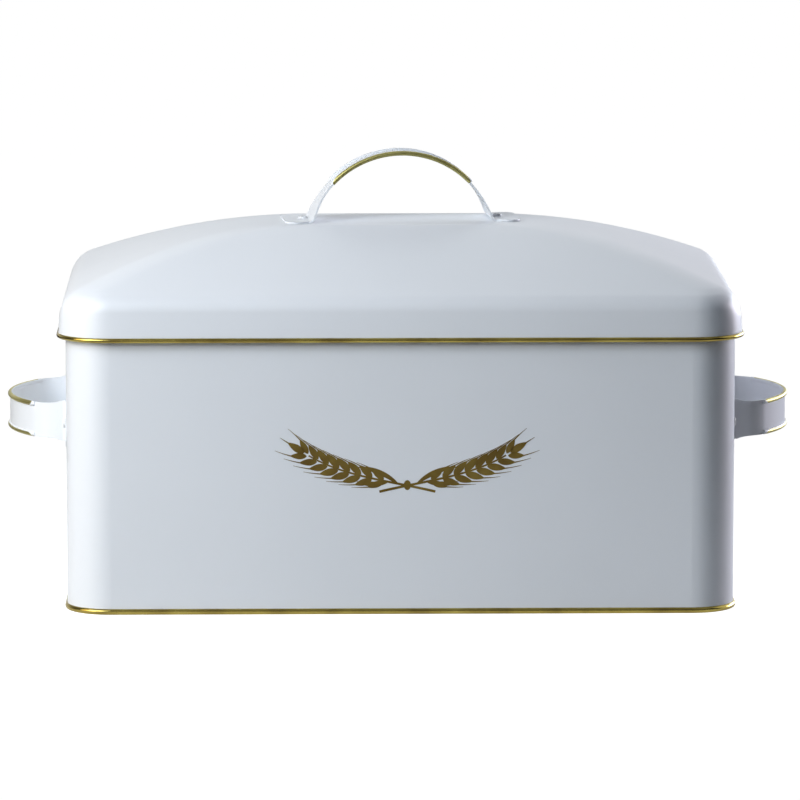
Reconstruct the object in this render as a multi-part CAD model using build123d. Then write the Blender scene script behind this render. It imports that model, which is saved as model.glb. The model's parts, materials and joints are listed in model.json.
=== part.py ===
from build123d import *
import math
import os

os.makedirs("parts", exist_ok=True)

# A pressed-steel bread bin with a lift-off lid, a strap handle on the lid and one on each end.
# Millimetres. The bin stands on z = 0, centred on the origin, with its front towards -Y.

# Body
body_width = 360.0
body_depth = 215.0
body_corner_radius = 24.0
body_sheet = 0.8
body_height = 166.5

# Gold bead at the foot of the body, with a narrow flat underneath to stand on
base_bead_diameter = 3.4
base_bead_flat = 0.3

# Base panel, a shallow pan pushed up inside the body
base_recess = 6.0
base_fit_gap = 0.05
base_corner_bend = 2.0
emboss_margin = 30.0
emboss_corner_radius = 18.0
emboss_height = 1.2

# Rolled top edge of the body and the lock seam down its back
top_roll_diameter = 3.2
top_roll_proud = 0.2
seam_width = 9.0
seam_proud = 1.0
seam_edge_break = 0.4
seam_end_gap = 2.0

# Lid
lid_sheet = 0.8
lid_overhang = 4.0
lid_seat_gap = 0.3
lid_height = 52.5
skirt_height = 21.0
skirt_draft_degrees = 4.0
end_shoulder_radius = 19.0
front_shoulder_radius = 10.0
roof_pitch_degrees = 23.5
plateau_length = 118.0
plateau_width = 57.0
plateau_corner_radius = 12.0
rim_bead_diameter = 2.6

# Straps of the handles, and the gold curled edges along their grips
strap_sheet = 1.0
strap_bend_radius = 3.0
curl_diameter = 2.6
curl_outset = 0.4
curl_end_round = 0.9
leg_edge_inset = 0.2
foot_corner_radius = 6.0

# Handle on the lid, which stands a little to the right of the middle and slightly skew
lid_grip_rise = 38.4
lid_grip_radius = 52.0
lid_grip_width = 19.4
lid_leg_width = 34.0
lid_foot_width = 44.0
lid_foot_length = 13.0
lid_rivet_setback = 2.0
lid_curl_half_angle = 47.0
lid_handle_offset = 1.2
lid_handle_skew_degrees = 5.0

# Handles on the ends of the body
side_handle_height = 97.2
side_grip_reach = 35.0
side_grip_span = 102.0
side_corner_radius = 20.0
side_grip_width = 19.4
side_leg_width = 22.0
side_foot_width = 27.0
side_foot_length = 16.0
side_rivet_setback = 7.5
side_curl_half_angle = 43.0

# Rivets
rivet_head_diameter = 5.2
rivet_head_height = 1.5
rivet_head_round = 1.2
rivet_shank_diameter = 2.4
rivet_tail_diameter = 4.0
rivet_tail_height = 0.8

# Values that follow
draft = math.radians(skirt_draft_degrees)
pitch = math.radians(roof_pitch_degrees)
base_bead_radius = base_bead_diameter / 2
base_bead_centre = base_bead_radius - base_bead_flat
top_roll_radius = top_roll_diameter / 2
top_roll_centre = body_height - top_roll_radius
top_roll_offset = top_roll_proud - top_roll_radius
curl_radius = curl_diameter / 2
rim_width = body_width + 2 * lid_overhang
rim_depth = body_depth + 2 * lid_overhang
rim_radius = body_corner_radius + lid_overhang


def body_outline(offset):
    """Outline of the body, moved outward by offset from the outer face of its wall."""
    width = body_width + 2 * offset
    depth = body_depth + 2 * offset
    return RectangleRounded(width, depth, body_corner_radius + offset)


def body_prism(offset, low, high):
    """Upright solid with the body's outline, moved outward by offset."""
    return Pos(0, 0, low) * extrude(body_outline(offset), high - low)


def bead_on(path, radius):
    """Round bead swept along a path."""
    start = Plane(origin=path @ 0, z_dir=path % 0)
    return sweep(start * Circle(radius), path=path)


def bead_round_body(offset, height, radius):
    """Closed bead round the body, moved outward by offset from the outer face of its wall."""
    path = (Pos(0, 0, height) * body_outline(offset)).wire()
    return bead_on(path, radius)


# Profile of the lid. Inset is measured inward from the outside of the rim, height upward from it.

def shoulder_centre(radius):
    """Inset and height of the centre of the arc that turns the skirt into the roof."""
    turn = math.pi / 2 - draft - pitch
    start = skirt_height / math.cos(draft) - radius * math.tan(turn / 2)
    inset = start * math.sin(draft) + radius * math.cos(draft)
    height = start * math.cos(draft) - radius * math.sin(draft)
    return inset, height


def shoulder_top(radius):
    """Inset and height at which the shoulder meets the roof, on the outside."""
    inset, height = shoulder_centre(radius)
    return inset - radius * math.sin(pitch), height + radius * math.cos(pitch)


def roof_power(radius, plateau_inset):
    """Exponent of the roof's curve, which leaves the shoulder at the roof's pitch."""
    start_inset, start_height = shoulder_top(radius)
    return (lid_height - start_height) / ((plateau_inset - start_inset) * math.tan(pitch))


def lid_inset(height, thickness, radius, plateau_inset):
    """Inset of the lid's skin at a height, drawn in by a thickness from its outer face."""
    centre_inset, centre_height = shoulder_centre(radius)
    start_inset, start_height = shoulder_top(radius)
    arc = radius - thickness
    if height < centre_height + arc * math.sin(draft):
        return height * math.tan(draft) + thickness / math.cos(draft)
    if height < centre_height + arc * math.cos(pitch):
        return centre_inset - math.sqrt(arc**2 - (height - centre_height) ** 2)
    outer_height = min(height + thickness * math.cos(pitch), lid_height)
    share = (outer_height - start_height) / (lid_height - start_height)
    run = plateau_inset - start_inset
    bend = roof_power(radius, plateau_inset)
    return start_inset + thickness * math.sin(pitch) + run * (1 - (1 - share) ** bend)


end_plateau_inset = (rim_width - plateau_length) / 2
front_plateau_inset = (rim_depth - plateau_width) / 2


def lid_section(height, thickness):
    """Level outline of the lid's skin at a height above the rim."""
    end_inset = lid_inset(height, thickness, end_shoulder_radius, end_plateau_inset)
    front_inset = lid_inset(height, thickness, front_shoulder_radius, front_plateau_inset)
    start_inset = shoulder_top(end_shoulder_radius)[0]
    if end_inset < start_inset:
        corner = rim_radius - end_inset
    else:
        share = (end_inset - start_inset) / (end_plateau_inset - start_inset)
        corner = (rim_radius - start_inset) * (1 - share) + plateau_corner_radius * share
    return RectangleRounded(rim_width - 2 * end_inset, rim_depth - 2 * front_inset, corner)


skirt_steps = 3
shoulder_steps = 10
roof_shares = (0.07, 0.17, 0.3, 0.45, 0.6, 0.75, 0.88, 1.0)


def lid_heights(thickness):
    """Heights above the rim at which the lid's skin is drawn, closer where it turns."""
    centre_height = shoulder_centre(end_shoulder_radius)[1]
    arc = end_shoulder_radius - thickness
    skirt_top = centre_height + arc * math.sin(draft)
    heights = [skirt_top * step / skirt_steps for step in range(skirt_steps)]
    for step in range(shoulder_steps + 1):
        angle = draft + (math.pi / 2 - draft - pitch) * step / shoulder_steps
        heights.append(centre_height + arc * math.sin(angle))
    start_height = shoulder_top(end_shoulder_radius)[1]
    curve = 1 / roof_power(end_shoulder_radius, end_plateau_inset)
    for share in roof_shares:
        outer = start_height + (lid_height - start_height) * (1 - (1 - share) ** curve)
        heights.append(outer - thickness * math.cos(pitch))
    return heights


def lid_form(thickness):
    """The lid as a filled form, drawn in by a thickness from its outer face."""
    heights = lid_heights(thickness)
    sections = [Pos(0, 0, rim_level + height) * lid_section(height, thickness) for height in heights]
    return loft(sections)


# The lid comes to rest with the inside of its end shoulders on the body's rolled top edge.
seat_inset, seat_height = shoulder_centre(end_shoulder_radius)
seat_run = seat_inset - lid_overhang + top_roll_offset
seat_reach = end_shoulder_radius - lid_sheet - lid_seat_gap - top_roll_radius
rim_level = top_roll_centre - math.sqrt(seat_reach**2 - seat_run**2) - seat_height
plateau_level = rim_level + lid_height
plateau_sheet = lid_sheet * math.cos(pitch)


# Handles. Each is drawn standing on a sheet whose outer face is z = 0: X runs from foot to foot,
# Y across the strap and Z away from the sheet.

def strap_path(arch, foot_start, foot_length, lean):
    """Centre line of a strap: its arcs, a bend at the bottom of each leg, and two flat feet."""
    low = strap_sheet / 2
    middle = low + strap_bend_radius
    right = CenterArc((foot_start, middle), strap_bend_radius, 270, -lean)
    left = CenterArc((-foot_start, middle), strap_bend_radius, 270, lean)
    right_foot = Line((foot_start, low), (foot_start + foot_length, low))
    left_foot = Line((-foot_start - foot_length, low), (-foot_start, low))
    return Plane.XZ * Wire([left_foot, left, *arch, right, right_foot])


def leg_outline(grip_width, leg_width, flare_top, top):
    """Outline across the grip and the legs, which flare downward from the ends of the curls."""
    grip = grip_width / 2 - curl_radius
    edge = grip_width / 2 - leg_edge_inset
    leg = leg_width / 2
    flare_low = strap_sheet + strap_bend_radius
    neck = flare_top + curl_radius
    side = [
        Line((0, -strap_sheet), (leg, -strap_sheet)),
        Line((leg, -strap_sheet), (leg, flare_low)),
        Spline((leg, flare_low), (edge, flare_top), tangents=[(-1, 2), (0, 1)]),
        Line((edge, flare_top), (grip, neck)),
        Line((grip, neck), (grip, top)),
        Line((grip, top), (0, top)),
    ]
    half = make_face(Wire(side + [Line((0, top), (0, -strap_sheet))]))
    return Plane.YZ * (half + mirror(half, about=Plane.YZ))


def foot_outline(start, length, leg_width, foot_width):
    """Outline of one foot, which spreads towards its rounded end."""
    end = start + length
    leg = leg_width / 2
    foot = foot_width / 2
    corners = Polyline((start, -leg), (end, -foot), (end, foot), (start, leg), close=True)
    face = make_face(corners)
    outer = face.vertices().sort_by(Axis.X)[-2:]
    return fillet(outer, foot_corner_radius)


def strap(path, foot_start, foot_length, widths, flare_top, top):
    """Bent strap with flared legs and spread feet, cut from one strip of sheet."""
    grip_width, leg_width, foot_width = widths
    strip_width = max(widths) + strap_sheet
    start = Plane(origin=path @ 0, x_dir=(0, 1, 0), z_dir=path % 0)
    strip = sweep(start * Rectangle(strip_width, strap_sheet), path=path)
    legs = extrude(leg_outline(grip_width, leg_width, flare_top, top), foot_start, both=True)
    foot = extrude(foot_outline(foot_start, foot_length, leg_width, foot_width), strap_sheet)
    return (strip & legs) + (strip & foot) + (strip & mirror(foot, about=Plane.YZ))


def edge_curls(path, grip_width):
    """Rounded gold curls along both edges of a grip, front one first."""
    side = grip_width / 2 - curl_radius
    curls = []
    for place in (-side, side):
        curl = bead_on(Pos(0, place, 0) * path, curl_radius)
        ends = curl.faces().filter_by(GeomType.PLANE).edges()
        curls.append(fillet(ends, curl_end_round))
    return curls


def rivet(place, backing):
    """Domed rivet through one foot and the sheet behind it, whose thickness is backing."""
    head = extrude(Circle(rivet_head_diameter / 2), rivet_head_height)
    rim = head.edges().sort_by(Axis.Z)[-1]
    head = Pos(place, 0, strap_sheet) * fillet(rim, rivet_head_round)
    shank = extrude(Circle(rivet_shank_diameter / 2), backing + strap_sheet)
    tail = extrude(Circle(rivet_tail_diameter / 2), -rivet_tail_height)
    return head + Pos(place, 0, -backing) * (shank + tail)


def handle(path, grip_path, foot_start, foot_length, widths, flare_top, top, setback, backing):
    """Strap, two edge curls and two rivets of one handle, in its own frame."""
    curls = edge_curls(grip_path, widths[0])
    places = (foot_start + setback, -foot_start - setback)
    rivets = [rivet(place, backing) for place in places]
    band = strap(path, foot_start, foot_length, widths, flare_top, top)
    for piece in curls + rivets:
        band = band - piece
    return band, curls, rivets


def lid_handle():
    """Handle on the lid: a round arch whose legs lean in to its feet."""
    centre = lid_grip_rise - curl_radius - curl_outset - lid_grip_radius
    middle = strap_sheet / 2 + strap_bend_radius
    reach = lid_grip_radius + strap_bend_radius
    foot_start = math.sqrt(reach**2 - (middle - centre) ** 2)
    lean = math.degrees(math.atan2(foot_start, middle - centre))
    arch = CenterArc((0, centre), lid_grip_radius, 90 - lean, 2 * lean)
    path = strap_path([arch], foot_start, lid_foot_length, lean)
    half_angle = lid_curl_half_angle
    curl_arc = lid_grip_radius + curl_outset
    grip = CenterArc((0, centre), curl_arc, 90 - half_angle, 2 * half_angle)
    flare_top = centre + lid_grip_radius * math.cos(math.radians(half_angle))
    widths = (lid_grip_width, lid_leg_width, lid_foot_width)
    return handle(
        path, Plane.XZ * Wire([grip]), foot_start, lid_foot_length, widths,
        flare_top, lid_grip_rise, lid_rivet_setback, plateau_sheet,
    )


def side_handle():
    """Handle on an end of the body: a flat arch with tighter corners, square to its feet."""
    middle = strap_sheet / 2 + strap_bend_radius
    half_span = side_grip_span / 2
    rise = side_grip_reach - curl_radius - curl_outset - middle
    corner = side_corner_radius
    corner_place = half_span - corner
    crown = (half_span**2 + rise**2 - 2 * half_span * corner) / (2 * (rise - corner))
    crown_low = middle + rise - crown
    crown_angle = math.degrees(math.atan2(corner_place, crown - rise))

    def arch(half_angle, outset):
        """Arcs over the crown and round both corners, to a half angle from upright."""
        turn = half_angle - crown_angle
        right = CenterArc((corner_place, middle), corner + outset, 90 - half_angle, turn)
        top = CenterArc((0, crown_low), crown + outset, 90 - crown_angle, 2 * crown_angle)
        left = CenterArc((-corner_place, middle), corner + outset, 90 + crown_angle, turn)
        return [right, top, left]

    foot_start = half_span + strap_bend_radius
    path = strap_path(arch(90, 0), foot_start, side_foot_length, 90)
    grip = Plane.XZ * Wire(arch(side_curl_half_angle, curl_outset))
    flare_top = middle + corner * math.cos(math.radians(side_curl_half_angle))
    widths = (side_grip_width, side_leg_width, side_foot_width)
    return handle(
        path, grip, foot_start, side_foot_length, widths,
        flare_top, side_grip_reach, side_rivet_setback, body_sheet,
    )


# Where each handle stands
lid_frame = Pos(lid_handle_offset, 0, plateau_level) * Rot(0, 0, lid_handle_skew_degrees)
right_frame = Plane(origin=(body_width / 2, 0, side_handle_height), x_dir=(0, 1, 0), z_dir=(1, 0, 0))
left_frame = Plane(origin=(-body_width / 2, 0, side_handle_height), x_dir=(0, -1, 0), z_dir=(-1, 0, 0))

lid_strap, lid_curls, lid_rivets = lid_handle()
side_strap, side_curls, side_rivets = side_handle()


def base_bead():
    """Gold bead at the foot of the body, rubbed flat underneath."""
    bead = bead_round_body(-body_sheet / 2, base_bead_centre, base_bead_radius)
    return bead - body_prism(base_bead_diameter, -base_bead_diameter, 0)


def body_wall(bead):
    """Wrapped wall with a rolled top edge, a lock seam at the back and four rivet holes."""
    wall = body_prism(0, base_bead_centre, top_roll_centre)
    seam_low = base_bead_diameter
    seam_high = top_roll_centre - seam_end_gap
    seam_face = Pos(0, body_depth / 2) * Rectangle(seam_width, 2 * seam_proud)
    seam = Pos(0, 0, seam_low) * extrude(seam_face, seam_high - seam_low)
    seam = chamfer(seam.edges().group_by(Axis.Y)[-1], seam_edge_break)
    wall = wall + seam - body_prism(-body_sheet, 0, body_height)
    wall = wall + bead_round_body(top_roll_offset, top_roll_centre, top_roll_radius)
    wall = wall - bead
    for frame in (right_frame, left_frame):
        for piece in side_rivets:
            wall = wall - frame * piece
    return wall


def base_panel():
    """Base pan: a floor with a raised panel, and a flange down to the gold bead."""
    outer = -body_sheet - base_fit_gap
    flange_low = base_bead_centre + base_bead_radius + base_fit_gap
    top = base_recess + body_sheet
    pan = body_prism(outer, flange_low, top)
    rim = pan.faces().sort_by(Axis.Z)[-1].edges()
    pan = fillet(rim, base_corner_bend)
    hollow = body_prism(outer - body_sheet, 0, base_recess)
    roof = hollow.faces().sort_by(Axis.Z)[-1].edges()
    pan = pan - fillet(roof, base_corner_bend - body_sheet)
    width = body_width - 2 * emboss_margin
    depth = body_depth - 2 * emboss_margin
    raised = RectangleRounded(width, depth, emboss_corner_radius)
    inner = RectangleRounded(width - 2 * body_sheet, depth - 2 * body_sheet, emboss_corner_radius - body_sheet)
    pan = pan + Pos(0, 0, base_recess) * extrude(raised, body_sheet + emboss_height)
    return pan - Pos(0, 0, base_recess) * extrude(inner, emboss_height)


def rim_bead():
    """Gold curled rim of the lid."""
    offset = lid_overhang - lid_sheet / 2
    return bead_round_body(offset, rim_level, rim_bead_diameter / 2)


def lid_shell(bead):
    """Pressed lid: skirt, rounded shoulder, soft-hipped roof and flat top with two rivet holes."""
    shell = lid_form(0) - lid_form(lid_sheet)
    shell = shell - bead
    for piece in lid_rivets:
        shell = shell - lid_frame * piece
    return shell


base_bead_solid = base_bead()
rim_bead_solid = rim_bead()

nodes = {
    "body_wall": body_wall(base_bead_solid),
    "base_panel": base_panel(),
    "base_bead": base_bead_solid,
    "lid_shell": lid_shell(rim_bead_solid),
    "lid_rim_bead": rim_bead_solid,
    "lid_handle_strap": lid_frame * lid_strap,
    "lid_handle_front_curl": lid_frame * lid_curls[0],
    "lid_handle_back_curl": lid_frame * lid_curls[1],
    "lid_handle_rivets": Compound(children=[lid_frame * piece for piece in lid_rivets]),
}
for side, frame in (("right", right_frame), ("left", left_frame)):
    nodes[side + "_handle_strap"] = frame * side_strap
    nodes[side + "_handle_lower_curl"] = frame * side_curls[0]
    nodes[side + "_handle_upper_curl"] = frame * side_curls[1]
    nodes[side + "_handle_rivets"] = Compound(children=[frame * piece for piece in side_rivets])

for name, solid in nodes.items():
    export_step(solid, f"parts/{name}.step")
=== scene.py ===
import json
import math

import bmesh
import bpy
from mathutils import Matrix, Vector


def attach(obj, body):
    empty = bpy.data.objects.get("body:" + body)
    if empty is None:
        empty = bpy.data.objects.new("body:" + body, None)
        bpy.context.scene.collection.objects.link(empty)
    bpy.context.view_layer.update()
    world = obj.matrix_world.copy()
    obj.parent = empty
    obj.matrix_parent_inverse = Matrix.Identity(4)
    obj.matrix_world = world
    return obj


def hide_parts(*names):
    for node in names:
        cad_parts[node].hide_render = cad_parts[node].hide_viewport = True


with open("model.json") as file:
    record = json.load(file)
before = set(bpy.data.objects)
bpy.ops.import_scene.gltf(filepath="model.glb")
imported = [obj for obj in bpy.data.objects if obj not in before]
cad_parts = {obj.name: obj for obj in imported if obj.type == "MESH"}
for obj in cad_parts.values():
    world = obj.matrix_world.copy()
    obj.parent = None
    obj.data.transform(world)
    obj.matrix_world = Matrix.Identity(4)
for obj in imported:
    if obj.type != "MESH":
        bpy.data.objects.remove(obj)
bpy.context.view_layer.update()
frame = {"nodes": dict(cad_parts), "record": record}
nodes = frame["nodes"]

# Metres. The bin stands on z = 0 with its front towards -Y.
front_face = -0.1075

# The photograph's viewpoint
camera_place = (-0.0589, -3.3382, 0.5813)
camera_down = math.radians(8.193)
camera_turn = -0.018
camera_lens = 274.8
camera_sensor = 36.0
camera_range = (0.1, 60.0)


def make_camera():
    data = bpy.data.cameras.new("camera")
    data.lens = camera_lens
    data.sensor_width = camera_sensor
    data.clip_start, data.clip_end = camera_range
    camera = bpy.data.objects.new("camera", data)
    camera.location = camera_place
    camera.rotation_euler = (math.pi / 2 - camera_down, 0.0, camera_turn)
    bpy.context.scene.collection.objects.link(camera)
    bpy.context.scene.camera = camera


# Small helpers for node materials

# Most values of a noise texture lie between these two.
noise_low = 0.3
noise_high = 0.7


def new_material(name):
    material = bpy.data.materials.new(name)
    material.use_nodes = True
    tree = material.node_tree
    shader = tree.nodes["Principled BSDF"]
    return material, tree, shader


def add_node(tree, kind, **values):
    node = tree.nodes.new(kind)
    for key, value in values.items():
        setattr(node, key, value)
    return node


def object_place(tree):
    return add_node(tree, "ShaderNodeTexCoord").outputs["Object"]


def grey(value):
    return (value, value, value, 1.0)


def noise(tree, place, scale, detail=3.0):
    node = add_node(tree, "ShaderNodeTexNoise")
    node.inputs["Scale"].default_value = scale
    node.inputs["Detail"].default_value = detail
    tree.links.new(place, node.inputs["Vector"])
    return node.outputs["Fac"]


def ramp(tree, value, stops):
    node = add_node(tree, "ShaderNodeValToRGB")
    points = node.color_ramp.elements
    while len(points) < len(stops):
        points.new(0.5)
    for point, (position, colour) in zip(points, stops):
        point.position = position
        point.color = colour
    tree.links.new(value, node.inputs["Fac"])
    return node.outputs["Color"]


def mapped(tree, value, start, end, low=0.0, high=1.0, curve="LINEAR"):
    """A value that runs from start to end, mapped to low to high and kept within them."""
    node = add_node(tree, "ShaderNodeMapRange", interpolation_type=curve)
    node.inputs["From Min"].default_value = start
    node.inputs["From Max"].default_value = end
    node.inputs["To Min"].default_value = low
    node.inputs["To Max"].default_value = high
    tree.links.new(value, node.inputs["Value"])
    return node.outputs["Result"]


def spread(tree, value, low, high):
    """A noise spread over low to high."""
    return mapped(tree, value, noise_low, noise_high, low, high)


def mixed(tree, share, first, second):
    """Colour that is the first one where share is 0 and the second one where it is 1."""
    node = add_node(tree, "ShaderNodeMix", data_type="RGBA")
    factor, lower, upper = node.inputs[0], node.inputs[6], node.inputs[7]
    tree.links.new(share, factor)
    tree.links.new(first, lower)
    if isinstance(second, tuple):
        upper.default_value = second
    else:
        tree.links.new(second, upper)
    return node.outputs[2]


def bump(tree, height, strength, distance, shader):
    node = add_node(tree, "ShaderNodeBump")
    node.inputs["Strength"].default_value = strength
    node.inputs["Distance"].default_value = distance
    tree.links.new(height, node.inputs["Height"])
    tree.links.new(node.outputs["Normal"], shader.inputs["Normal"])


def math_node(tree, operation, *values):
    """One step of arithmetic on links and plain numbers."""
    node = add_node(tree, "ShaderNodeMath", operation=operation)
    for socket, value in zip(node.inputs, values):
        if isinstance(value, (int, float)):
            socket.default_value = value
        else:
            tree.links.new(value, socket)
    return node.outputs[0]


def vector_node(tree, operation, first, second=None):
    node = add_node(tree, "ShaderNodeVectorMath", operation=operation)
    for socket, value in zip(node.inputs, (first, second)):
        if isinstance(value, tuple):
            socket.default_value = value
        elif value is not None:
            tree.links.new(value, socket)
    return node.outputs["Value" if operation in ("DOT_PRODUCT", "LENGTH") else "Vector"]


# Paints

def white_colour(tree, place):
    """White stoved paint, very slightly clouded."""
    return ramp(tree, noise(tree, place, scale=9.0, detail=2.0), [
        (0.30, (0.790, 0.815, 0.845, 1.0)),
        (0.70, (0.810, 0.835, 0.865, 1.0)),
    ])


def white_paint():
    """Satin paint on sheet steel, with a faint orange peel."""
    material, tree, shader = new_material("white_paint")
    place = object_place(tree)
    tree.links.new(white_colour(tree, place), shader.inputs["Base Color"])
    gloss = spread(tree, noise(tree, place, scale=60.0), low=0.35, high=0.39)
    tree.links.new(gloss, shader.inputs["Roughness"])
    peel = noise(tree, place, scale=160.0, detail=1.0)
    bump(tree, peel, strength=0.15, distance=0.00002, shader=shader)
    return material


def brushed(tree, place, shader, low, high):
    """Roughness and relief of gold paint that was brushed on."""
    strokes = noise(tree, place, scale=220.0, detail=2.0)
    tree.links.new(spread(tree, strokes, low, high), shader.inputs["Roughness"])
    bump(tree, strokes, strength=0.10, distance=0.00004, shader=shader)


def gold_paint():
    """Metallic gold paint, a little uneven, with darker rubbed patches."""
    material, tree, shader = new_material("gold_trim")
    place = object_place(tree)
    tree.links.new(ramp(tree, noise(tree, place, scale=45.0), [
        (0.34, (0.300, 0.225, 0.060, 1.0)),
        (0.50, (0.400, 0.315, 0.080, 1.0)),
        (0.70, (0.500, 0.410, 0.110, 1.0)),
    ]), shader.inputs["Base Color"])
    shader.inputs["Metallic"].default_value = 1.0
    brushed(tree, place, shader, low=0.16, high=0.23)
    return material


def print_paint():
    """Browner gold of the ornament, printed thinly and matt."""
    material, tree, shader = new_material("ornament_gold")
    place = object_place(tree)
    tree.links.new(ramp(tree, noise(tree, place, scale=90.0), [
        (0.35, (0.155, 0.095, 0.016, 1.0)),
        (0.65, (0.225, 0.155, 0.030, 1.0)),
    ]), shader.inputs["Base Color"])
    shader.inputs["Metallic"].default_value = 0.6
    matt = spread(tree, noise(tree, place, scale=220.0, detail=2.0), low=0.38, high=0.48)
    tree.links.new(matt, shader.inputs["Roughness"])
    return material


def rivet_paint():
    """White paint over a rivet's head, thin and greyer where it is rubbed."""
    material, tree, shader = new_material("rivet_paint")
    place = object_place(tree)
    tree.links.new(ramp(tree, noise(tree, place, scale=900.0), [
        (0.35, (0.560, 0.570, 0.580, 1.0)),
        (0.60, (0.780, 0.790, 0.800, 1.0)),
    ]), shader.inputs["Base Color"])
    peel = noise(tree, place, scale=1400.0)
    tree.links.new(spread(tree, peel, low=0.30, high=0.42), shader.inputs["Roughness"])
    bump(tree, peel, strength=0.06, distance=0.0002, shader=shader)
    return material


# The gold on a curled edge covers the side that faces a given direction. A part of the edge is gold
# where the cosine between the two is over a border, which climbs past 1 near the curl's ends.
gilt_border_end = 1.05
gilt_straight = 0.9
gilt_blur = 0.10
gilt_wobble = 0.30
gilt_metallic = 0.85


def edge_gold(tree, place):
    """Paler, yellower gold, brushed thinly over the white of the curled edges."""
    return ramp(tree, noise(tree, place, scale=45.0), [
        (0.34, (0.340, 0.300, 0.100, 1.0)),
        (0.50, (0.440, 0.395, 0.140, 1.0)),
        (0.70, (0.540, 0.490, 0.190, 1.0)),
    ])


def edge_paint(name, centre, outward, lean, along, half_length, gilt_from):
    """White paint of one curled edge, gold on the side that faces out from centre and leans.

    With outward 1 the gold faces level away from centre and leans from there. With 0 it faces lean.
    """
    material, tree, shader = new_material(name)
    coordinates = add_node(tree, "ShaderNodeTexCoord")
    place, normal = coordinates.outputs["Object"], coordinates.outputs["Normal"]
    from_centre = vector_node(tree, "SUBTRACT", place, centre)
    level = vector_node(tree, "MULTIPLY", from_centre, (outward, outward, 0.0))
    leaning = vector_node(tree, "ADD", vector_node(tree, "NORMALIZE", level), lean)
    facing = vector_node(tree, "DOT_PRODUCT", normal, vector_node(tree, "NORMALIZE", leaning))
    reach = math_node(tree, "ABSOLUTE", vector_node(tree, "DOT_PRODUCT", from_centre, along))
    border = mapped(
        tree, reach, gilt_straight * half_length, half_length, gilt_from, gilt_border_end, "SMOOTHSTEP",
    )
    over = math_node(tree, "SUBTRACT", facing, border)
    ripple = noise(tree, place, scale=120.0)
    wobble = math_node(tree, "MULTIPLY_ADD", ripple, gilt_wobble, -gilt_wobble / 2)
    gilt = mapped(tree, math_node(tree, "ADD", over, wobble), -gilt_blur, gilt_blur)
    colour = mixed(tree, gilt, white_colour(tree, place), edge_gold(tree, place))
    tree.links.new(colour, shader.inputs["Base Color"])
    tree.links.new(math_node(tree, "MULTIPLY", gilt, gilt_metallic), shader.inputs["Metallic"])
    brushed(tree, place, shader, low=0.38, high=0.46)
    return material


def give(piece, material):
    piece.data.materials.clear()
    piece.data.materials.append(material)


def new_piece(name, mesh, paint):
    """Object made of a finished bmesh, in the scene and painted."""
    data = bpy.data.meshes.new(name)
    mesh.to_mesh(data)
    mesh.free()
    piece = bpy.data.objects.new(name, data)
    bpy.context.scene.collection.objects.link(piece)
    give(piece, paint)
    return piece


# Floor. A pale table top near the object. Away from it the floor gives the object hardly any light,
# and passes into the white backdrop for the camera. Greys are given near and far.

floor_half = 8.0
table_size = (0.55, 0.42)
table_fade = 0.25
floor_diffuse = (0.45, 0.02)
floor_mirrored = (0.45, 0.02)
floor_direct = (0.93, 1.0)


def seen_by(tree, *kinds):
    """1 for rays of the given kinds, and 0 for the rest."""
    path = add_node(tree, "ShaderNodeLightPath")
    result = path.outputs[kinds[0]]
    for kind in kinds[1:]:
        result = math_node(tree, "MAXIMUM", result, path.outputs[kind])
    return result


def chosen(tree, choice, first, second):
    """Shader that is the first one where choice is 0 and the second one where it is 1."""
    mix = add_node(tree, "ShaderNodeMixShader")
    tree.links.new(choice, mix.inputs[0])
    tree.links.new(first.outputs[0], mix.inputs[1])
    tree.links.new(second.outputs[0], mix.inputs[2])
    return mix


def fading(tree, away, kind, greys):
    """Shader of a kind whose colour goes from the near grey to the far one."""
    near, far = greys
    shader = add_node(tree, kind)
    stops = [(0.0, grey(near)), (1.0, grey(far))]
    tree.links.new(ramp(tree, away, stops), shader.inputs["Color"])
    return shader


def make_floor():
    """White floor, lifted to the white of the backdrop where the camera sees it directly."""
    mesh = bpy.data.meshes.new("floor")
    corners = [(-1, -1), (1, -1), (1, 1), (-1, 1)]
    mesh.from_pydata([(x * floor_half, y * floor_half, 0) for x, y in corners], [], [(0, 1, 2, 3)])
    floor = bpy.data.objects.new("floor", mesh)
    bpy.context.scene.collection.objects.link(floor)
    material = bpy.data.materials.new("floor_white")
    material.use_nodes = True
    tree = material.node_tree
    tree.nodes.clear()
    scale = (1 / table_size[0], 1 / table_size[1], 0.0)
    distance = vector_node(tree, "LENGTH", vector_node(tree, "MULTIPLY", object_place(tree), scale))
    away = mapped(tree, distance, 1 - table_fade, 1 + table_fade, curve="SMOOTHSTEP")
    diffuse = fading(tree, away, "ShaderNodeBsdfDiffuse", floor_diffuse)
    mirrored = fading(tree, away, "ShaderNodeEmission", floor_mirrored)
    direct = fading(tree, away, "ShaderNodeEmission", floor_direct)
    nothing = add_node(tree, "ShaderNodeEmission")
    nothing.inputs["Strength"].default_value = 0.0
    glow = chosen(tree, seen_by(tree, "Is Glossy Ray", "Is Transmission Ray"), nothing, mirrored)
    glow = chosen(tree, seen_by(tree, "Is Camera Ray"), glow, direct)
    both = add_node(tree, "ShaderNodeAddShader")
    out = add_node(tree, "ShaderNodeOutputMaterial")
    tree.links.new(diffuse.outputs[0], both.inputs[0])
    tree.links.new(glow.outputs[0], both.inputs[1])
    tree.links.new(both.outputs[0], out.inputs["Surface"])
    floor.data.materials.append(material)


# World. The studio's walls are bright at the right rear, the left rear and the front left, and dark at
# the left and the front right. Each stop is a bearing and how bright the wall looks in a reflection.
# Bearing 0 is straight behind the object, 0.25 its left, 0.5 the camera's side and 0.75 its right.

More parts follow.
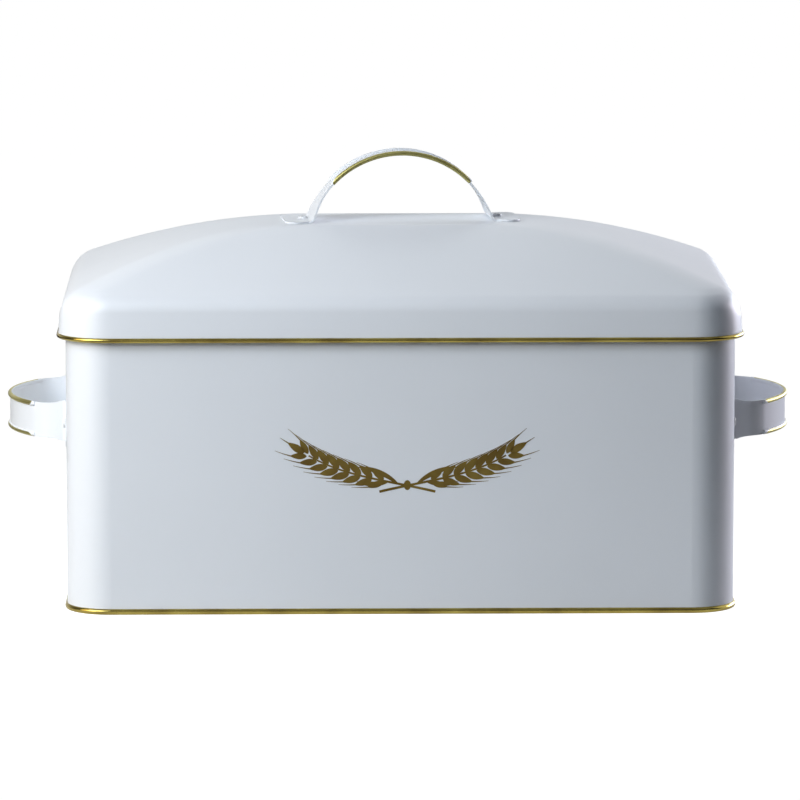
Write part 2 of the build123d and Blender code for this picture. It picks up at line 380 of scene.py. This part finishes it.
walls = (
    (0.00, 0.45), (0.04, 0.80), (0.15, 0.70), (0.19, 0.10), (0.31, 0.10), (0.35, 0.70), (0.47, 0.70),
    (0.494, 1.00), (0.506, 0.00), (0.72, 0.00), (0.76, 1.00), (0.96, 0.95), (1.00, 0.45),
)
upper_walls = (
    (0.00, 0.60), (0.15, 0.30), (0.20, 0.10), (0.46, 0.10), (0.49, 0.50), (0.51, 0.10), (0.54, 0.30),
    (0.63, 0.30), (0.67, 0.00), (0.70, 0.00), (0.73, 1.00), (1.00, 0.90),
)
ceiling = 0.30

# Heights over the horizon, in degrees, between which one part of the studio passes into the next
walls_to_upper = (15, 25)
upper_to_ceiling = (42, 58)

# Light of the sky behind the object, weak and cool. It grows from nothing straight to the sides to full
# at the edge, which is how far back a direction points.
sky_strength = 0.16
sky_colour = (0.94, 0.97, 1.0, 1.0)
sky_edge = 0.1


def above(tree, rise, heights, lower, upper):
    """Lower colour that changes to the upper one between two heights over the horizon."""
    start, end = [math.sin(math.radians(height)) for height in heights]
    return mixed(tree, mapped(tree, rise, start, end, curve="SMOOTHSTEP"), lower, upper)


def make_world():
    """White backdrop for the camera, the studio in reflections, and a weak cool light from behind."""
    world = bpy.data.worlds.new("world")
    bpy.context.scene.world = world
    world.use_nodes = True
    tree = world.node_tree
    tree.nodes.clear()
    axes = add_node(tree, "ShaderNodeSeparateXYZ")
    tree.links.new(add_node(tree, "ShaderNodeTexCoord").outputs["Generated"], axes.inputs[0])
    leftward = math_node(tree, "MULTIPLY", axes.outputs["X"], -1.0)
    angle = math_node(tree, "ARCTAN2", leftward, axes.outputs["Y"])
    turns = math_node(tree, "MULTIPLY_ADD", angle, 1 / (2 * math.pi), 1.0)
    bearing = math_node(tree, "FRACT", turns)
    low, high = [
        ramp(tree, bearing, [(place, grey(level)) for place, level in stops])
        for stops in (walls, upper_walls)
    ]
    room_colour = above(tree, axes.outputs["Z"], walls_to_upper, low, high)
    room_colour = above(tree, axes.outputs["Z"], upper_to_ceiling, room_colour, grey(ceiling))
    room = add_node(tree, "ShaderNodeBackground")
    tree.links.new(room_colour, room.inputs["Color"])
    white = add_node(tree, "ShaderNodeBackground")
    white.inputs["Color"].default_value = grey(1.0)
    sky = add_node(tree, "ShaderNodeBackground")
    sky.inputs["Strength"].default_value = sky_strength
    sky_stops = [(0.0, grey(0.0)), (sky_edge, sky_colour)]
    tree.links.new(ramp(tree, axes.outputs["Y"], sky_stops), sky.inputs["Color"])
    lit = chosen(tree, seen_by(tree, "Is Glossy Ray", "Is Transmission Ray"), sky, room)
    lit = chosen(tree, seen_by(tree, "Is Camera Ray"), lit, white)
    out = add_node(tree, "ShaderNodeOutputWorld")
    tree.links.new(lit.outputs[0], out.inputs["Surface"])


# Lamps, all square and aimed at the middle of the object

lamp_target = Vector((0.0, 0.0, 0.12))

# Name, bearing from the front towards the right, height above the horizon, distance, size, power, colour
lamps = (
    ("warm_key", -60, 30, 1.1, 0.7, 2.7, (1.00, 0.76, 0.56)),
    ("low_key", -60, 10, 1.1, 0.7, 2.8, (1.00, 0.86, 0.62)),
    ("cool_key", -45, 30, 1.1, 0.7, 10.6, (0.74, 0.86, 1.00)),
    ("right_side", 118, 8, 1.9, 0.7, 19.5, (0.92, 0.88, 1.00)),
    ("right_rear", 140, 8, 1.9, 0.7, 13.0, (0.80, 0.88, 1.00)),
    ("high_rear", 180, 60, 1.9, 1.2, 3.0, (0.88, 0.95, 1.00)),
    ("rear", 180, 30, 1.9, 1.2, 2.4, (0.93, 0.98, 1.00)),
)


def make_lamps():
    for name, bearing, elevation, distance, size, power, colour in lamps:
        turn = math.radians(bearing)
        lift = math.radians(elevation)
        away = Vector((
            math.sin(turn) * math.cos(lift),
            -math.cos(turn) * math.cos(lift),
            math.sin(lift),
        ))
        data = bpy.data.lights.new(name, "AREA")
        data.size = size
        data.energy = power
        data.color = colour
        lamp = bpy.data.objects.new(name, data)
        lamp.location = lamp_target + away * distance
        lamp.rotation_euler = (-away).to_track_quat("-Z", "Y").to_euler()
        bpy.context.scene.collection.objects.link(lamp)


# Lid. Inset is measured inward from the outside of the rim, height upward from it, in millimetres.
# In a pair the first value counts over an end or along the width, the second over the front or along
# the depth.

mm = 0.001
sheet = 0.8
draft = math.radians(4.0)
pitch = math.radians(23.5)
lid_height = 52.5
skirt_height = 21.0
rim_level = 148.756
rim_size = (368.0, 223.0)
rim_radius = 28.0
plateau_size = (118.0, 57.0)
plateau_radius = 12.0
shoulder_radii = (19.0, 10.0)

# Steps of the lid's mesh round a corner and along a side
corner_steps = 14
side_steps = 24

# Its rings up the skirt, round a shoulder and up the roof. A ring that rises by no more than the least
# rise over the one before is left out.
skirt_heights = (0.0, 2.0, 4.0, 6.0)
shoulder_steps = 24
roof_steps = 40
least_rise = 0.12

# The rings on the flat top, as shares of the roof's last ring
flat_shares = (0.96, 0.9, 0.8, 0.65, 0.45, 0.25)

# The rings softened round the edge of the flat top, counted back from the innermost one
soft_first = 14
soft_last = 2
soft_rounds = 2


class Profile:
    """Profile of the lid's skin over an end (side 0) or over the front (side 1)."""

    def __init__(self, side):
        radius = shoulder_radii[side]
        turn = math.pi / 2 - draft - pitch
        start = skirt_height / math.cos(draft) - radius * math.tan(turn / 2)
        self.radius = radius
        self.centre_inset = start * math.sin(draft) + radius * math.cos(draft)
        self.centre_height = start * math.cos(draft) - radius * math.sin(draft)
        self.top_inset = self.centre_inset - radius * math.sin(pitch)
        self.top_height = self.centre_height + radius * math.cos(pitch)
        self.run = (rim_size[side] - plateau_size[side]) / 2 - self.top_inset
        self.power = (lid_height - self.top_height) / (self.run * math.tan(pitch))

    def inset(self, height, thickness):
        arc = self.radius - thickness
        rise = height - self.centre_height
        if rise < arc * math.sin(draft):
            return height * math.tan(draft) + thickness / math.cos(draft)
        if rise < arc * math.cos(pitch):
            return self.centre_inset - math.sqrt(arc**2 - rise**2)
        outer = min(height + thickness * math.cos(pitch), lid_height)
        share = (outer - self.top_height) / (lid_height - self.top_height)
        return self.top_inset + thickness * math.sin(pitch) + self.run * (1 - (1 - share) ** self.power)


end_profile = Profile(0)
front_profile = Profile(1)


def rounded_rectangle(half_width, half_depth, radius):
    """Points round a rectangle with rounded corners, from the right end towards the back."""
    arcs = []
    for right, back, start in ((1, 1, 0), (-1, 1, 90), (-1, -1, 180), (1, -1, 270)):
        middle = Vector((right * (half_width - radius), back * (half_depth - radius)))
        arc = []
        for step in range(corner_steps + 1):
            angle = math.radians(start + 90 * step / corner_steps)
            arc.append(middle + radius * Vector((math.cos(angle), math.sin(angle))))
        arcs.append(arc)
    outline = []
    for arc, following in zip(arcs, arcs[1:] + arcs[:1]):
        outline += arc
        for step in range(1, side_steps):
            outline.append(arc[-1].lerp(following[0], step / side_steps))
    return outline


def lid_ring(height, thickness):
    """Level outline of the lid's skin at a height above the rim, in millimetres."""
    end_inset = end_profile.inset(height, thickness)
    front_inset = front_profile.inset(height, thickness)
    if end_inset < end_profile.top_inset:
        corner = rim_radius - end_inset
    else:
        share = (end_inset - end_profile.top_inset) / end_profile.run
        corner = (rim_radius - end_profile.top_inset) * (1 - share) + plateau_radius * share
    half_width = rim_size[0] / 2 - end_inset
    half_depth = rim_size[1] / 2 - front_inset
    return rounded_rectangle(half_width, half_depth, corner)


def lid_stations(thickness):
    """Heights of the skin's rings: up the skirt, round both shoulders and up the roof."""
    heights = list(skirt_heights)
    for profile in (end_profile, front_profile):
        for step in range(shoulder_steps + 1):
            angle = draft + (math.pi / 2 - draft - pitch) * step / shoulder_steps
            heights.append(profile.centre_height + (profile.radius - thickness) * math.sin(angle))
    rise = lid_height - end_profile.top_height
    for step in range(1, roof_steps + 1):
        share = 1 - (1 - step / roof_steps) ** (1 / end_profile.power)
        heights.append(end_profile.top_height + rise * share - thickness * math.cos(pitch))
    kept = []
    for height in sorted(heights):
        if not kept or height - kept[-1] > least_rise:
            kept.append(height)
    kept[-1] = lid_height - thickness * math.cos(pitch)
    return kept


def lid_skin(thickness):
    """Rings of points of one skin of the lid, from the rim to the middle of the flat top."""
    rings = []
    for height in lid_stations(thickness):
        rings.append([(x, y, height) for x, y in lid_ring(height, thickness)])
    last = rings[-1]
    for share in flat_shares:
        rings.append([(x * share, y * share, z) for x, y, z in last])
    return rings


def soften(rings):
    """Smooths the height along each meridian, where the roof turns into the flat top."""
    for _ in range(soft_rounds):
        heights = [[point[2] for point in ring] for ring in rings]
        for index in range(len(rings) - soft_first, len(rings) - soft_last):
            rings[index] = [
                (x, y, z / 2 + (heights[index - 1][place] + heights[index + 1][place]) / 4)
                for place, (x, y, z) in enumerate(rings[index])
            ]
    return rings


def make_lid(paint):
    """The pressed lid as one closed quad mesh of two skins, in place of the solid's own mesh."""
    mesh = bmesh.new()
    skins = []
    for thickness in (0.0, sheet):
        skins.append([
            [mesh.verts.new((x * mm, y * mm, (z + rim_level) * mm)) for x, y, z in ring]
            for ring in soften(lid_skin(thickness))
        ])
    count = len(skins[0][0])
    for side, rings in enumerate(skins):
        for lower, upper in zip(rings, rings[1:]):
            for place in range(count):
                after = (place + 1) % count
                corners = [lower[place], lower[after], upper[after], upper[place]]
                mesh.faces.new(corners if side == 0 else corners[::-1])
        cap = rings[-1]
        mesh.faces.new(cap if side == 0 else cap[::-1])
    outer, inner = skins[0][0], skins[1][0]
    for place in range(count):
        after = (place + 1) % count
        mesh.faces.new([outer[after], outer[place], inner[place], inner[after]])
    lid = new_piece("lid_panel", mesh, paint)
    lid.data.shade_smooth()
    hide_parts("lid_shell")
    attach(lid, "lid")


# Ornament on the front: two ears of wheat, tied where their stems cross. Millimetres, drawn round the
# middle of the ornament, rightward and upward. A place on the stem is given as a share of its curve,
# and the stem is drawn over its first steps only, since the top grain covers the rest.

ornament_middle = (3.2, 82.0)
paint_thickness = 0.12
paint_sink = 0.05

stem_points = ((-15.0, -15.5), (12.0, -9.0), (35.0, -7.5), (56.0, 6.0))
stem_width = 1.4
stem_taper = 0.4
stem_parts = 40
stem_steps = 38

first_grain = 0.36
last_grain = 0.96
grain_pairs = 8
grain_length = 10.6
grain_width = 4.0
grain_spread = math.radians(30)
grain_offset = 0.7
least_grain = 0.86
oval_steps = 12

# Powers that move a grain's fullest place towards its base and fill its outline
oval_slant = 0.8
oval_fullness = 0.85

awn_length = 9.0
awn_width = 0.65
awn_taper = 0.75
awn_steps = 6
awn_spread = math.radians(16)
awn_bend = math.radians(8)
awn_root = 0.5
top_awn_root = 1.5
top_awn_share = 0.6

# Place on the stem, side and length of each leaf
leaves = ((0.26, 1, 24.0), (0.33, -1, 17.0))
leaf_width = 2.7
leaf_steps = 14
leaf_start = 0.08
leaf_fullness = 0.8
leaf_tip = 0.1
leaf_spread = math.radians(30)
leaf_bend = math.radians(38)

knot_place = 0.205
knot_size = (1.9, 2.7)
knot_steps = 32

# Heights over the wall, as shares of the paint's thickness
stem_level = 0.8
grain_level = 1.0
awn_level = 0.7
leaf_level = 0.9
knot_level = 1.2


def stem_at(share):
    """Point and unit direction of the stem, a curve with four control points."""
    a, b, c, d = [Vector(point) for point in stem_points]
    rest = 1 - share
    point = a * rest**3 + b * 3 * rest**2 * share + c * 3 * rest * share**2 + d * share**3
    slope = (b - a) * rest**2 + (c - b) * 2 * rest * share + (d - c) * share**2
    return point, slope.normalized()


def turned_by(direction, angle):
    cosine, sine = math.cos(angle), math.sin(angle)
    return Vector((
        direction.x * cosine - direction.y * sine,
        direction.x * sine + direction.y * cosine,
    ))


def grain_outline(base, direction, length, width):
    """Pointed oval, fullest a little below its middle."""
    across = Vector((-direction.y, direction.x))
    right, left = [], []
    for step in range(1, oval_steps):
        share = step / oval_steps
        half = width / 2 * math.sin(math.pi * share**oval_slant) ** oval_fullness
        spine = base + direction * length * share
        right.append(spine - across * half)
        left.append(spine + across * half)
    return [base, *right, base + direction * length, *reversed(left)]


def band_outline(points, widths):
    """Ribbon along points, with a width at each."""
    right, left = [], []
    for index, point in enumerate(points):
        before = points[max(index - 1, 0)]
        after = points[min(index + 1, len(points) - 1)]
        direction = (after - before).normalized()
        across = Vector((-direction.y, direction.x)) * widths[index] / 2
        right.append(point - across)
        left.append(point + across)
    return right + left[::-1]


def curved_band(start, direction, length, bend, widths):
    """Ribbon that starts in a direction and bends evenly."""
    points = [start]
    count = len(widths) - 1
    for step in range(count):
        heading = turned_by(direction, bend * (step + 0.5) / count)
        points.append(points[-1] + heading * length / count)
    return band_outline(points, widths)


def tapered(width, taper, steps):
    """Widths of a stroke that loses a share of its width, the taper, on the way to its tip."""
    return [width * (1 - taper * step / steps) for step in range(steps + 1)]


def awn_outline(root, direction, length, bend):
    return curved_band(root, direction, length, bend, tapered(awn_width, awn_taper, awn_steps))


def leaf_outline(share, side, length):
    root, heading = stem_at(share)
    widths = []
    for step in range(leaf_steps):
        swell = math.sin(math.pi * (leaf_start + (1 - leaf_start) * step / leaf_steps))
        widths.append(leaf_width * swell**leaf_fullness)
    widths.append(leaf_tip)
    way = turned_by(heading, side * leaf_spread)
    return curved_band(root, way, length, -side * leaf_bend, widths)


def ear_shapes():
    """Outlines of one ear, its stem and its leaves, each with its height over the wall."""
    stem = [stem_at(step / stem_parts)[0] for step in range(stem_steps + 1)]
    shapes = [(band_outline(stem, tapered(stem_width, stem_taper, stem_steps)), stem_level)]
    for pair in range(grain_pairs):
        along = pair / (grain_pairs - 1)
        point, heading = stem_at(first_grain + (last_grain - first_grain) * along)
        size = least_grain + (1 - least_grain) * math.sin(math.pi * along)
        length = grain_length * size
        for side in (1, -1):
            way = turned_by(heading, side * grain_spread)
            root = point + Vector((-heading.y, heading.x)) * side * grain_offset
            shapes.append((grain_outline(root, way, length, grain_width * size), grain_level))
            tip = root + way * (length - awn_root)
            awn = turned_by(heading, side * awn_spread)
            shapes.append((awn_outline(tip, awn, awn_length, -side * awn_bend), awn_level))
    point, heading = stem_at(1.0)
    shapes.append((grain_outline(point - heading, heading, grain_length, grain_width), grain_level))
    tip = point + heading * (grain_length - top_awn_root)
    shapes.append((awn_outline(tip, heading, awn_length * top_awn_share, 0.0), awn_level))
    for leaf in leaves:
        shapes.append((leaf_outline(*leaf), leaf_level))
    return shapes


def knot_outline():
    middle = stem_at(knot_place)[0].y
    half_width, half_height = knot_size
    points = []
    for step in range(knot_steps):
        angle = 2 * math.pi * step / knot_steps
        points.append(Vector((half_width * math.cos(angle), middle + half_height * math.sin(angle))))
    return points


def add_paint(mesh, outline, height):
    """Raised flat patch of paint on the front of the bin."""
    front = front_face - paint_thickness * height * mm
    back = front_face + paint_sink * mm
    rings = []
    for depth in (front, back):
        rings.append([
            mesh.verts.new(((ornament_middle[0] + x) * mm, depth, (ornament_middle[1] + z) * mm))
            for x, z in outline
        ])
    mesh.faces.new(rings[0])
    mesh.faces.new(rings[1][::-1])
    for index in range(len(outline)):
        after = (index + 1) % len(outline)
        mesh.faces.new([rings[0][after], rings[0][index], rings[1][index], rings[1][after]])


def make_ornament(paint):
    mesh = bmesh.new()
    for outline, height in ear_shapes():
        add_paint(mesh, outline, height)
        add_paint(mesh, [Vector((-x, z)) for x, z in reversed(outline)], height)
    add_paint(mesh, knot_outline(), knot_level)
    bmesh.ops.recalc_face_normals(mesh, faces=mesh.faces)
    ornament = new_piece("wheat_ornament", mesh, paint)
    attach(ornament, "bin")


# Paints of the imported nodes. Metres.

handle_skew = math.radians(5.0)
handle_place = (0.0012, 0.0, 0.0)
lid_grip_half = 0.0388
lid_gilt_from = 0.1
side_grip_centre = 0.185
side_grip_half = 0.0454

# Name of each curled edge of a side grip, how far up its gold leans and where the gold's border is
side_edges = (("upper", 0.4, -0.1), ("lower", -0.7, 0.1))


def dress_curls():
    """Each curled edge gets a paint whose gold faces away from its grip."""
    across = Vector((-math.sin(handle_skew), math.cos(handle_skew), 0.0))
    along = (across.y, -across.x, 0.0)
    for name, side in (("front", -1), ("back", 1)):
        lean = tuple(across * side)
        paint = edge_paint(
            f"lid_{name}_edge", handle_place, 0.0, lean, along, lid_grip_half, lid_gilt_from,
        )
        give(nodes[f"lid_handle_{name}_curl"], paint)
    for end, right in (("left", -1), ("right", 1)):
        centre = (right * side_grip_centre, 0.0, 0.0)
        for name, lean, gilt_from in side_edges:
            paint = edge_paint(
                f"{end}_{name}_edge", centre, 1.0, (0.0, 0.0, lean), (0.0, 1.0, 0.0),
                side_grip_half, gilt_from,
            )
            give(nodes[f"{end}_handle_{name}_curl"], paint)


def dress_nodes():
    """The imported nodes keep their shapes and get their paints."""
    paints = {"white_paint": white_paint(), "gold_trim": gold_paint(), "rivet_paint": rivet_paint()}
    for part in frame["record"]["subparts"]:
        give(nodes[part["node"]], paints[part["material_slot"]])
    dress_curls()
    return paints


make_camera()
paints = dress_nodes()
make_lid(paints["white_paint"])
make_ornament(print_paint())
make_floor()
make_world()
make_lamps()
bpy.context.scene.view_settings.view_transform = "Standard"
